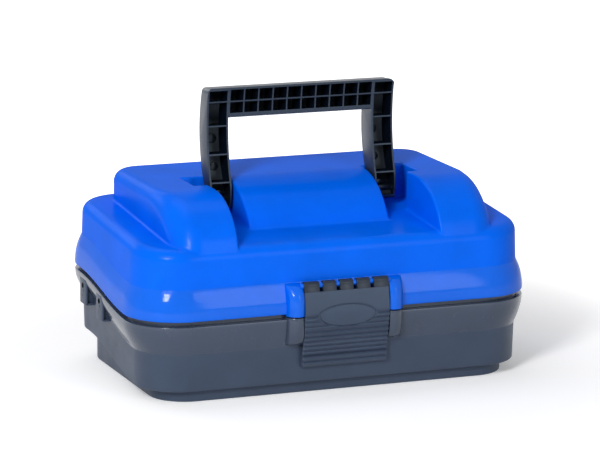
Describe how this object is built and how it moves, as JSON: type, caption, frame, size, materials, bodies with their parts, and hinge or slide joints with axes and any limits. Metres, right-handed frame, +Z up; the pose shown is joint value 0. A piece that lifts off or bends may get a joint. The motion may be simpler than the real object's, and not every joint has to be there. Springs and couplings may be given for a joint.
{
  "type": "tackle box",
  "caption": "Portable tackle box with a two-tier lift-up lid, folding carry handle, front latch and cantilever trays that rise as the lid opens.",
  "frame": {"origin": "centre of the foot plinth, on the surface that the box stands on", "axes": "+X to the right along the front, the front faces -Y, +Z up"},
  "size_m": [0.34, 0.2187, 0.2326],
  "materials": {
    "blue_plastic": "satin moulded, glossy on the flared band",
    "slate_plastic": "fine satin grain, glossy on the flared band",
    "black_plastic": "satin moulded",
    "tray_plastic": "smooth moulded",
    "steel": "bright drawn wire"
  },
  "bodies": {
    "base": {"base_shell": "slate_plastic", "base_pivot_pins": "steel", "hinge_pin_left": "steel", "hinge_pin_right": "steel"},
    "lid": {"lid_shell": "blue_plastic", "handle_pin_left": "black_plastic", "handle_pin_right": "black_plastic", "lid_link_pins": "steel"},
    "handle": {"handle": "black_plastic"},
    "latch": {"latch": "slate_plastic"},
    "rear_arms": {"rear_arm_left": "black_plastic", "rear_arm_right": "black_plastic"},
    "front_arms": {"front_arm_left": "black_plastic", "front_arm_right": "black_plastic"},
    "lower_tray": {"lower_tray": "tray_plastic", "lower_dividers": "tray_plastic", "lower_tray_pins": "steel"},
    "upper_tray": {"upper_tray": "tray_plastic", "upper_dividers": "tray_plastic", "upper_tray_pins": "steel"},
    "lid_links": {"lid_link_left": "black_plastic", "lid_link_right": "black_plastic"}
  },
  "joints": [
    {"name": "lid_hinge", "type": "hinge", "parent": "base", "child": "lid", "pos_m": [0, 0.1049, 0.0797], "axis": [-1, 0, 0], "range_deg": [0, 95]},
    {"name": "rear_arm_pivot", "type": "hinge", "parent": "base", "child": "rear_arms", "pos_m": [0, 0.0446, 0.068], "axis": [-1, 0, 0], "range_deg": [0, 95]},
    {"name": "front_arm_pivot", "type": "hinge", "parent": "base", "child": "front_arms", "pos_m": [0, 0.0027, 0.064], "axis": [-1, 0, 0], "range_deg": [0, 95]},
    {"name": "lower_tray_pivot", "type": "hinge", "parent": "rear_arms", "child": "lower_tray", "pos_m": [0, 0.01547, 0.0786], "axis": [-1, 0, 0], "range_deg": [-95, 0]},
    {"name": "upper_tray_pivot", "type": "hinge", "parent": "rear_arms", "child": "upper_tray", "pos_m": [0, -0.01949, 0.105], "axis": [-1, 0, 0], "range_deg": [-95, 0]},
    {"name": "lid_link_pivot", "type": "hinge", "parent": "lid", "child": "lid_links", "pos_m": [0, 0.04081, 0.1167], "axis": [-1, 0, 0], "range_deg": [-95, 0]},
    {"name": "handle_fold", "type": "hinge", "parent": "lid", "child": "handle", "pos_m": [0, 0, 0.1415], "axis": [1, 0, 0], "range_deg": [0, 95]},
    {"name": "latch_swing", "type": "hinge", "parent": "lid", "child": "latch", "pos_m": [0, -0.1026, 0.0885], "axis": [-1, 0, 0], "range_deg": [0, 80]}
  ],
  "couplings": [
    {"joint": "rear_arm_pivot", "follows": "lid_hinge", "ratio": 1},
    {"joint": "front_arm_pivot", "follows": "lid_hinge", "ratio": 1},
    {"joint": "lower_tray_pivot", "follows": "lid_hinge", "ratio": -1},
    {"joint": "upper_tray_pivot", "follows": "lid_hinge", "ratio": -1},
    {"joint": "lid_link_pivot", "follows": "lid_hinge", "ratio": -1}
  ]
}
